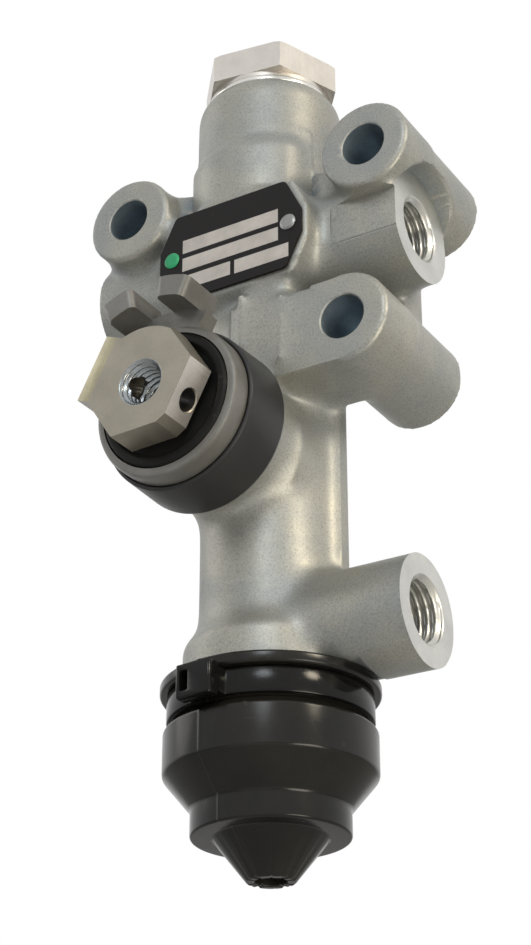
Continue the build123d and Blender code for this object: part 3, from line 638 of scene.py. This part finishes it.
def skinLimits(points):
    # how far each point may sink and how far it may rise
    across, depth, height = points[:, 0] / mm, -points[:, 1] / mm, points[:, 2] / mm
    firm = casting["firm"]
    fromShaft = np.hypot(across - places["shaft"][0], height - places["shaft"][2])
    fixed = (height < firm["foot"]) | (height > firm["neck"])
    fixed |= (fromShaft < firm["shaftRadius"]) & (depth > firm["shaftDepth"])
    soft = np.zeros(len(points), bool)
    for box in casting["soft"]:
        soft |= between(across, *box["across"]) & between(height, *box["height"]) & (depth > box["depth"])
    loss = np.where(soft, casting["softLoss"], casting["edgeLoss"])
    loss = np.where(fixed, casting["firmLoss"], loss) * mm
    room = np.where(fixed, 0.0, casting["fill"]) * mm
    return loss, room


def relaxSkin(mesh):
    # concave corners fill in like casting fillets, while outer edges lose only a little
    count = len(mesh.vertices)
    start = meshVectors(mesh.vertices, "co")
    outward = meshVectors(mesh.vertices, "normal")
    ends = np.empty(len(mesh.edges) * 2, np.int64)
    mesh.edges.foreach_get("vertices", ends)
    ends = ends.reshape(-1, 2)
    sources = np.concatenate((ends[:, 0], ends[:, 1]))
    targets = np.concatenate((ends[:, 1], ends[:, 0]))
    share = np.bincount(targets, minlength=count)
    loss, room = skinLimits(start)
    now = start.copy()
    for _ in range(casting["rounds"]):
        mean = np.stack([np.bincount(targets, now[sources, axis], count) / share for axis in range(3)], 1)
        now += (mean - now) * casting["pull"]
        shift = ((now - start) * outward).sum(1)
        allowed = np.clip(shift, -loss, room)
        now += outward * (allowed - shift)[:, None]
    # the mounting face stays flat
    now[-start[:, 1] < casting["rear"] * mm, 1] = 0.0
    shapeSwelling(now)
    mesh.vertices.foreach_set("co", now.ravel())
    mesh.update()


def block(low, high):
    corners = [(x, y, z) for x in (low[0], high[0]) for y in (low[1], high[1]) for z in (low[2], high[2])]
    faces = [(0, 1, 3, 2), (4, 6, 7, 5), (0, 4, 5, 1), (2, 3, 7, 6), (0, 2, 6, 4), (1, 5, 7, 3)]
    return meshFrom("block", corners, faces, Matrix.Identity(4))


def flatCutters():
    flat = portFlat
    under, over = flat["groove"]
    return [
        block((flat["begin"], -flat["front"], flat["low"]), (flat["end"], -flat["depth"], flat["high"])),
        block((flat["begin"], -flat["front"], flat["low"] + under),
              (flat["end"], flat["grooveDepth"] - flat["depth"], flat["low"] + over)),
    ]


def boreCutters():
    cut = flatCutters()
    hole, edge, beyond = boltHole["radius"], boltHole["edge"], boltHole["beyond"]
    for x, z, depth in bolts:
        rim, end = hole + edge + beyond, depth + beyond
        outline = [(0, -beyond), (hole, -beyond), (hole, depth - edge), (rim, end), (0, end)]
        cut.append(turnedMesh("hole", outline, forwardAxis(x, z), 96))
    wide = portBore["radius"]
    for port in ports:
        bottom, top = port["face"] - portBore["length"], port["face"] + portBore["beyond"]
        drill, into = port["drill"], port["into"]
        outline = [(0, into), (drill, into), (drill, bottom), (wide, bottom), (wide, top), (0, top)]
        cut.append(turnedMesh("port", outline, port["place"], 96))
    # spot face round the right port, and clean end faces on the other two
    for port in ports:
        cut.append(rod(port["spot"], port["face"], port["waste"], port["place"], 128))
    cut.append(turnedMesh("middle", bores["middle"], barrel, 128))
    cut.append(turnedMesh("shaftBore", bores["shaft"], shaft, 96))
    cut.append(turnedMesh("shaftSeat", bores["shaftSeat"], shaft, 160))
    cut.append(rod(*bores["bossEnd"], shaft, 64))
    cut.append(turnedMesh("footSeat", bores["footSeat"], barrel, 160))
    cut.append(rod(*bores["footEnd"], barrel, 64))
    cut.append(rod(*bores["neckEnd"], barrel, 64))
    cut.append(turnedMesh("duct", bores["duct"], uprightAxis(*places["duct"]), 24))
    return cut


def buildCasting():
    form = bmesh.new()
    form.from_mesh(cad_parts["housing"].data)
    for filler in plugFillers():
        form.from_mesh(filler)
    mesh = bpy.data.meshes.new("castBody")
    form.to_mesh(mesh)
    form.free()
    piece = looseObject("castBody", mesh)
    skin = piece.modifiers.new("skin", "REMESH")
    skin.mode = "VOXEL"
    skin.voxel_size = casting["voxel"] * mm
    bpy.context.view_layer.update()
    settle(piece)
    print("casting skin", len(piece.data.polygons), "faces")
    relaxSkin(piece.data)
    thin = piece.modifiers.new("thin", "DECIMATE")
    thin.ratio = min(1.0, casting["faces"] / (2 * len(piece.data.polygons)))
    bpy.context.view_layer.update()
    settle(piece)
    carve(piece, boreCutters())
    return piece


castBody = buildCasting()


# the casting's materials in their order, and how near a face has to be to its cut
castFaces = {"skin": 0, "bare": 1, "shaded": 2, "facing": 0.98, "near": 0.05, "margin": 0.1, "rear": 0.5}


def machinedFaces(mesh):
    # end faces of the ports are cut bare, and the walls of the bolt holes are shaded
    look = castFaces
    x, y, z = meshVectors(mesh.polygons, "center").T / mm
    across = meshVectors(mesh.polygons, "normal")[:, 0]
    chosen = np.full(len(mesh.polygons), look["skin"], np.int32)
    for port in ports:
        away = np.hypot(y - port["at"][1], z - port["at"][2])
        bare = (across * port["side"] > look["facing"]) & (away < port["spot"] + look["margin"])
        bare &= abs(x * port["side"] - port["face"]) < look["near"]
        chosen[bare] = look["bare"]
    for boltX, boltZ, boltDepth in bolts:
        away = np.hypot(x - boltX, z - boltZ)
        wall = (away < boltHole["radius"] + look["near"]) & between(y, -boltDepth, look["rear"])
        chosen[wall] = look["shaded"]
    mesh.polygons.foreach_set("material_index", chosen)


finishPiece(castBody, "valve_body", ["housing"], castSkin, sharp=40)
castBody.data.materials.append(portFinish)
castBody.data.materials.append(holeShade)
machinedFaces(castBody.data)
print("casting done,", len(castBody.data.polygons), "faces")

# threads: radii, chamfer at the mouth, length and pitch
portThread = {
    "core": 5.25, "root": 6.05, "outer": 6.4, "mouth": 6.3, "chamfer": 0.9, "length": 13.0, "pitch": 1.5}
clampThread = {
    "core": 3.4, "root": 4.0, "outer": 4.3, "mouth": 4.25, "chamfer": 0.9, "length": 9.0, "pitch": 1.25}
# rows of points in each turn, points round it, and the slope and foot of the thread's flanks
threadForm = {"rows": 12, "segments": 72, "slope": 1.5, "foot": 0.25}


def threadMesh(name, place, face, sizes):
    segments = threadForm["segments"]
    rows = int(sizes["length"] / sizes["pitch"] * threadForm["rows"])
    bevel = (sizes["mouth"] - sizes["core"]) / sizes["chamfer"]
    rings = []
    for row in range(rows + 1):
        below = sizes["length"] * row / rows
        runOut = min(1.0, (sizes["length"] - below) / sizes["pitch"])
        ring = []
        for step in range(segments):
            turn = (below / sizes["pitch"] + step / segments) % 1
            crest = min(1.0, max(0.0, abs(2 * turn - 1) * threadForm["slope"] - threadForm["foot"]))
            radius = sizes["core"] + (sizes["root"] - sizes["core"]) * crest * runOut
            ring.append(max(radius, sizes["mouth"] - below * bevel))
        rings.append((face - below, ring))
    # the sleeve's outside closes the form
    for height in (face - sizes["length"], face):
        rings.append((height, [sizes["outer"]] * segments))
    verts, faces = [], []
    for row, (height, ring) in enumerate(rings):
        nextRow = (row + 1) % len(rings)
        for step, radius in enumerate(ring):
            angle = fullTurn * step / segments
            after = (step + 1) % segments
            verts.append((radius * math.cos(angle), radius * math.sin(angle), height))
            faces.append((row * segments + step, row * segments + after,
                          nextRow * segments + after, nextRow * segments + step))
    return meshFrom(name, verts, faces, place)


for port in ports:
    thread = looseObject(port["name"], threadMesh(port["name"], port["place"], port["face"], portThread))
    finishPiece(thread, "valve_body", [], portFinish, sharp=50)
print("port threads done")

# lever shaft with its head; a flat is degrees round the shaft from the rod, and distance from the shaft
leverHead = {
    "edge": 0.2, "turn": -27.5, "flats": ((-60, 8.55), (-30, 8.9)), "face": 53.8, "above": 55,
    "rodHole": 2.0, "rodReach": 9,
}
# the head's materials in their order after its steel, and where they begin or end along the rod's way
headMarks = {
    "bore": 1, "tab": 2, "flat": 3, "wall": 2.04, "wallEnd": 7.6, "flatFrom": 7.5, "facing": 0.97,
    "tabFrom": -9.2, "tabFront": -52.6,
}


def headFlats():
    planes = []
    for angle, distance in leverHead["flats"]:
        away = math.radians(angle + leverHead["turn"])
        normal = Vector((math.cos(away), 0, math.sin(away)))
        planes.append((Vector(places["shaft"]) * mm + normal * distance * mm, normal))
    return planes


def markHead(mesh):
    # the cross hole's wall on the rod's side gets painted shade, the rod's flat is cut bare, and so is
    # the tab's narrow front, which is a little brassy
    look = headMarks
    holeMiddle, shaftMiddle = Vector(places["rod"]) * mm, Vector(places["shaft"]) * mm
    for polygon in mesh.polygons:
        away = polygon.center - holeMiddle
        along = away.dot(rodWay)
        if (away - rodWay * along).length < look["wall"] * mm and 0 < along < look["wallEnd"] * mm:
            polygon.material_index = look["bore"]
        along = (polygon.center - shaftMiddle).dot(rodWay)
        if polygon.normal.dot(rodWay) > look["facing"] and along > look["flatFrom"] * mm:
            polygon.material_index = look["flat"]
        if along < look["tabFrom"] * mm and polygon.center.y < look["tabFront"] * mm:
            polygon.material_index = look["tab"]


leverShaft = softCopy("leverShaft", "lever_shaft", leverHead["edge"], planes=headFlats())
threadEnd = leverHead["face"] - clampThread["length"]
carve(leverShaft, [rod(clampThread["outer"], threadEnd, leverHead["above"], shaft, 96)])
finishPiece(leverShaft, "lever", ["lever_shaft"], headFinish)
for finish in (boreShade, tabFinish, flatFinish):
    leverShaft.data.materials.append(finish)
markHead(leverShaft.data)
evenNormals(leverShaft)
clampSleeve = looseObject("clampThread", threadMesh("clampThread", shaft, leverHead["face"], clampThread))
rodReach = leverHead["rodReach"]
carve(clampSleeve, [rod(leverHead["rodHole"], -rodReach, rodReach, rodAxis, 48)])
finishPiece(clampSleeve, "lever", [], threadFinish, sharp=50)
print("lever done")

# collar, seal and sleeve round the shaft; a point's third number rounds its corner
collarForm = {"edge": 0.12}
stopCollar = softCopy("stopCollar", "stop_collar", collarForm["edge"])
finishPiece(stopCollar, "valve_body", ["stop_collar"], collarFinish)
evenNormals(stopCollar)

dustSealForm = {
    "segments": 160,
    "outline": [(4.8, 44.9), (12.45, 44.9, 0.2), (12.45, 46.9, 0.7), (10.9, 46.9, 0.5),
                (10.1, 46.25, 0.4), (6.6, 46.25, 0.4), (5.6, 46.9, 0.4), (4.8, 46.9, 0.2)],
}
sealMesh = turnedMesh("dustSeal", dustSealForm["outline"], shaft, dustSealForm["segments"])
dustSeal = looseObject("dustSeal", sealMesh)
finishPiece(dustSeal, "valve_body", ["dust_seal"], sealRubber)

sleeveForm = {
    "segments": 160, "steps": 6,
    "outline": [(13.1, 32.0, 0.2), (15.3, 32.0, 0.9), (14.9, 42.6, 0.45), (14.25, 42.6, 0.2),
                (13.75, 41.2, 0.3), (13.1, 40.6)],
}
sleeveMesh = turnedMesh(
    "bossSleeve", sleeveForm["outline"], shaft, sleeveForm["segments"], sleeveForm["steps"])
bossSleeve = looseObject("bossSleeve", sleeveMesh)
finishPiece(bossSleeve, "valve_body", ["boss_sleeve"], sleeveRubber)
print("collar, seal and sleeve done")

# plug and its seal ring
plugForm = {"edge": 0.3, "steps": 3}
hexPlug = softCopy("hexPlug", "top_plug", plugForm["edge"], segments=plugForm["steps"])
finishPiece(hexPlug, "valve_body", ["top_plug"], plugFinish)
evenNormals(hexPlug)

plugSealForm = {
    "segments": 160,
    "outline": [(10.06, 26.12), (12.2, 26.12, 0.35), (12.2, 27.28, 0.35), (10.06, 27.28)],
}
ringMesh = turnedMesh("plugSeal", plugSealForm["outline"], barrel, plugSealForm["segments"])
plugSeal = looseObject("plugSeal", ringMesh)
finishPiece(plugSeal, "valve_body", ["plug_seal"], ringFinish)
print("plug done")

# nameplate and rivets; each bare field is its middle x, width, middle z and half height
plateLook = {
    "black": rgb(0.009, 0.008, 0.008), "bare": rgb(0.56, 0.52, 0.49), "scuffed": rgb(0.45, 0.42, 0.39),
    "fields": ((-2.4, 20.6, -10.2, 1.42), (-2.4, 20.6, -14.1, 1.43), (-7.4, 10.3, -18.05, 1.43),
               (4.35, 11.4, -18.15, 1.45)),
    "edge": 0.12, "roughness": 0.42, "shine": 0.15, "scratch": rgb(0.3, 0.28, 0.26), "scratchShare": 0.15,
    "skinShare": 0.4, "bump": (0.5, 0.00006),
}


def boxMask(tree, place, middleX, middleZ, halfX, halfZ):
    # 1 inside a rectangle seen from the front
    parts = addNode(tree, "ShaderNodeSeparateXYZ")
    tree.links.new(place, parts.inputs[0])
    sides = []
    for axis, middle, half in (("X", middleX, halfX), ("Z", middleZ, halfZ)):
        near = addNode(tree, "ShaderNodeMath", {1: middle * mm, 2: half * mm}, operation="COMPARE")
        tree.links.new(parts.outputs[axis], near.inputs[0])
        sides.append(near.outputs[0])
    both = addNode(tree, "ShaderNodeMath", operation="MULTIPLY")
    tree.links.new(sides[0], both.inputs[0])
    tree.links.new(sides[1], both.inputs[1])
    return both.outputs[0]


def plateMaterial():
    look = plateLook
    material, tree, shader = newMaterial("printedPlate", 0.0, Roughness=look["roughness"])
    shader.inputs["Specular IOR Level"].default_value = look["shine"]
    place = addNode(tree, "ShaderNodeTexCoord").outputs["Object"]
    grain = placeGroup(tree, skinGrain, Fine=2400, Blotch=260, Pit=1500)
    scratches = placeGroup(tree, handlingScratches, Scale=700, Level=0.72)
    bare = mixColour(tree, grain.outputs["Blotches"], look["bare"], look["scuffed"])
    total = None
    for middleX, width, middleZ, half in look["fields"]:
        mask = boxMask(tree, place, middleX, middleZ, width / 2, half)
        if total is None:
            total = mask
            continue
        joined = addNode(tree, "ShaderNodeMath", operation="MAXIMUM")
        tree.links.new(total, joined.inputs[0])
        tree.links.new(mask, joined.inputs[1])
        total = joined.outputs[0]
    colour = mixColour(tree, total, look["black"], bare)
    colour = layOver(tree, colour, scratches.outputs["Scratches"], look["scratchShare"], look["scratch"])
    tree.links.new(colour, shader.inputs["Base Color"])
    # the print stands lower than the bare fields
    lowered = addNode(tree, "ShaderNodeMath", {1: look["skinShare"]}, operation="MULTIPLY_ADD")
    tree.links.new(grain.outputs["Height"], lowered.inputs[0])
    tree.links.new(total, lowered.inputs[2])
    bump(tree, shader, lowered.outputs[0], *look["bump"])
    return material


nameplate = softCopy("nameplate", "nameplate", plateLook["edge"])
finishPiece(nameplate, "valve_body", ["nameplate"], plateMaterial())
evenNormals(nameplate)

rivetForm = {
    "segments": 48, "height": -12.4, "left": -15.0, "right": 10.0,
    "outline": [(0, 26.85), (0.95, 26.85), (0.95, 30.82), (1.6, 30.82, 0.05), (1.6, 31.0, 0.1),
                (1.15, 31.2, 0.4), (0, 31.25)],
}
greenPaint = rubberMaterial("greenPaint", rgb(0.03, 0.30, 0.13), rgb(0.05, 0.36, 0.17), 0.34, blotch=400)
rivetMetal = machinedMaterial(
    "rivetAluminium", rgb(0.27, 0.27, 0.265), rgb(0.20, 0.20, 0.195),
    (rivetForm["right"], 0, rivetForm["height"]), (1, 0, 1), spacing=3000, roughness=0.36)
for name, node, side, slotName, finish in (
        ("rivetLeft", "rivet_left", "left", "green_rivet", greenPaint),
        ("rivetRight", "rivet_right", "right", "grey_rivet", rivetMetal)):
    place = forwardAxis(rivetForm[side], rivetForm["height"])
    rivet = looseObject(name, turnedMesh(name, rivetForm["outline"], place, rivetForm["segments"]))
    finishPiece(rivet, "valve_body", [node], finish)
print("plate and rivets done")

# boot and tie
bootForm = {
    "segments": 360, "steps": 6,
    "outline": [
        (15.35, -94.1, 0.4), (18.95, -94.1, 0.5), (18.95, -96.2, 0.6), (16.6, -96.2, 0.3),
        (16.6, -101.2, 0.3), (18.3, -102.8, 0.7), (18.3, -110.0, 1.2), (13.5, -115.8, 1.4),
        (13.5, -120.4, 0.45), (9.8, -120.4, 0.6), (4.1, -127.55, 0.35), (2.7, -127.55, 0.25),
        (2.7, -118.4), (11.5, -118.4),
        (11.5, -115.8), (16.3, -110.0), (16.3, -103.05), (15.35, -103.05), (15.35, -100.55),
        (14.35, -100.55), (14.35, -96.85), (15.35, -96.85)],
}
# moulding seam down the outside, between the rim and the mouth, whose edge is ragged in waves
bootSeam = {
    "turn": -98.0, "height": 0.16, "half": 0.022, "side": 15.5, "lower": 12.5, "lowerFrom": -110,
    "noseFrom": -120, "rim": 18.9, "mouth": -127, "ragged": 0.22, "waves": (7, 3, 17),
}


def seamHeight(radius, angle, height):
    look = bootSeam
    outer = radius > look["side"] or (height < look["lowerFrom"] and radius > look["lower"])
    outer = outer or height < look["noseFrom"]
    if not outer or radius >= look["rim"] or height <= look["mouth"]:
        return 0.0
    away = (angle - math.radians(look["turn"]) + math.pi) % fullTurn - math.pi
    return look["height"] * max(0.0, 1 - abs(away) / look["half"])


def buildBoot():
    mesh = turnedMesh("exhaustBoot", bootForm["outline"], barrel, bootForm["segments"], bootForm["steps"])
    piece = looseObject("exhaustBoot", mesh)
    inverse = barrel.inverted()
    long, middle, short = bootSeam["waves"]
    for vertex in piece.data.vertices:
        local = inverse @ vertex.co / mm
        angle = math.atan2(local.y, local.x)
        grow = seamHeight(math.hypot(local.x, local.y), angle, local.z)
        if local.z < bootSeam["mouth"]:
            wave = math.sin(angle * long + 1) * math.sin(angle * middle) + 0.5 * math.sin(angle * short)
            local.z += bootSeam["ragged"] * max(0.0, wave)
        local.x += grow * math.cos(angle)
        local.y += grow * math.sin(angle)
        vertex.co = barrel @ (local * mm)
    return piece


exhaustBoot = buildBoot()
finishPiece(exhaustBoot, "valve_body", ["exhaust_boot"], bootRubber, sharp=50)
tieForm = {"edge": 0.22}
cableTie = softCopy("cableTie", "cable_tie", tieForm["edge"])
finishPiece(cableTie, "valve_body", ["cable_tie"], tiePlastic)
print("boot and tie done")

# inner pieces keep their solids
innerFinish = {
    "return_spring": threadFinish, "valve_liner": portFinish, "liner_rings": sealRubber,
    "shaft_bush": bronzeFinish, "outlet_strainer": plugFinish, "snap_ring": threadFinish,
    "crank_pin": threadFinish, "shaft_ring": sealRubber, "valve_spool": ringFinish,
    "spool_ring_upper": sealRubber, "spool_ring_middle": sealRubber, "spool_ring_lower": sealRubber,
}
for node, finish in innerFinish.items():
    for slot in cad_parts[node].material_slots:
        slot.material = finish
print("inner pieces finished")

# stage, light and camera
stage = {
    "floorZ": -0.262, "floorHalf": 3.0, "floorRoughness": 0.9, "floorColour": rgb(0.78, 0.78, 0.77),
    "floorPale": rgb(0.8, 0.8, 0.79), "airColour": rgb(0.97, 0.98, 1.0), "air": 0.40,
    "white": rgb(1, 1, 1),
}
lamps = [
    # name, direction from the object, distance and size in metres, power in watts, colour
    ("coolKey", (0.348, -0.820, 0.454), 0.85, 0.22, 1.75, (0.88, 0.95, 1.0)),
    ("warmSide", (0.875, -0.170, 0.454), 0.85, 0.20, 2.8, (1.0, 0.88, 0.68)),
    ("leftFill", (-0.861, -0.231, 0.454), 0.9, 0.5, 0.8, (1.0, 0.96, 0.90)),
    ("lowerRight", (0.86, -0.30, -0.40), 0.42, 0.22, 1.0, (1.0, 0.92, 0.78)),
    ("lowFill", (0.10, -0.80, -0.55), 0.34, 0.25, 0.05, (0.98, 0.98, 1.0)),
]
photoView = {
    "across": (0.8555, 0.5178, 0.0), "back": (0.4628, -0.7647, -0.4484),
    "place": (0.15925, -0.28519, -0.21084), "lens": 74.52, "sensor": 36, "clip": (0.01, 20),
}


def buildStage():
    half, low = stage["floorHalf"], stage["floorZ"]
    corners = [(-half, -half, low), (half, -half, low), (half, half, low), (-half, half, low)]
    mesh = bpy.data.meshes.new("floor")
    mesh.from_pydata(corners, [], [(0, 1, 2, 3)])
    floor = looseObject("floor", mesh)
    material, tree, shader = newMaterial("floorPaper", 0.0, Roughness=stage["floorRoughness"])
    grain = placeGroup(tree, skinGrain, Fine=300, Blotch=6, Pit=200)
    colour = mixColour(tree, grain.outputs["Blotches"], stage["floorColour"], stage["floorPale"])
    tree.links.new(colour, shader.inputs["Base Color"])
    mesh.materials.append(material)


def buildAir():
    world = bpy.data.worlds.new("studio")
    bpy.context.scene.world = world
    world.use_nodes = True
    tree = world.node_tree
    soft = tree.nodes["Background"]
    soft.inputs["Color"].default_value = stage["airColour"]
    soft.inputs["Strength"].default_value = stage["air"]
    # the camera and mirrors see white
    seen = addNode(tree, "ShaderNodeBackground", {"Color": stage["white"], "Strength": 1.0})
    path = addNode(tree, "ShaderNodeLightPath")
    either = path.outputs["Is Camera Ray"]
    for label in ("Is Glossy Ray", "Is Transmission Ray"):
        joined = addNode(tree, "ShaderNodeMath", operation="MAXIMUM")
        tree.links.new(either, joined.inputs[0])
        tree.links.new(path.outputs[label], joined.inputs[1])
        either = joined.outputs[0]
    mix = addNode(tree, "ShaderNodeMixShader")
    tree.links.new(either, mix.inputs[0])
    tree.links.new(soft.outputs[0], mix.inputs[1])
    tree.links.new(seen.outputs[0], mix.inputs[2])
    tree.links.new(mix.outputs[0], tree.nodes["World Output"].inputs["Surface"])


def buildLamps():
    middle = (cadBox[0] + cadBox[1]) / 2
    for name, direction, distance, size, power, colour in lamps:
        light = bpy.data.lights.new(name, "AREA")
        light.shape = "DISK"
        light.size = size
        light.energy = power
        light.color = colour
        lamp = bpy.data.objects.new(name, light)
        bpy.context.scene.collection.objects.link(lamp)
        away = Vector(direction).normalized()
        lamp.location = middle + away * distance
        lamp.rotation_euler = away.to_track_quat("Z", "Y").to_euler()


def buildCamera():
    across = Vector(photoView["across"]).normalized()
    back = Vector(photoView["back"]).normalized()
    lens = bpy.data.cameras.new("photoView")
    lens.lens = photoView["lens"]
    lens.sensor_width = photoView["sensor"]
    lens.clip_start, lens.clip_end = photoView["clip"]
    camera = bpy.data.objects.new("photoView", lens)
    bpy.context.scene.collection.objects.link(camera)
    place = Matrix((across, back.cross(across), back)).transposed().to_4x4()
    place.translation = Vector(photoView["place"])
    camera.matrix_world = place
    bpy.context.scene.camera = camera


buildStage()
buildAir()
buildLamps()
buildCamera()
bpy.context.scene.view_settings.view_transform = "Standard"
print("stage, light and camera done")
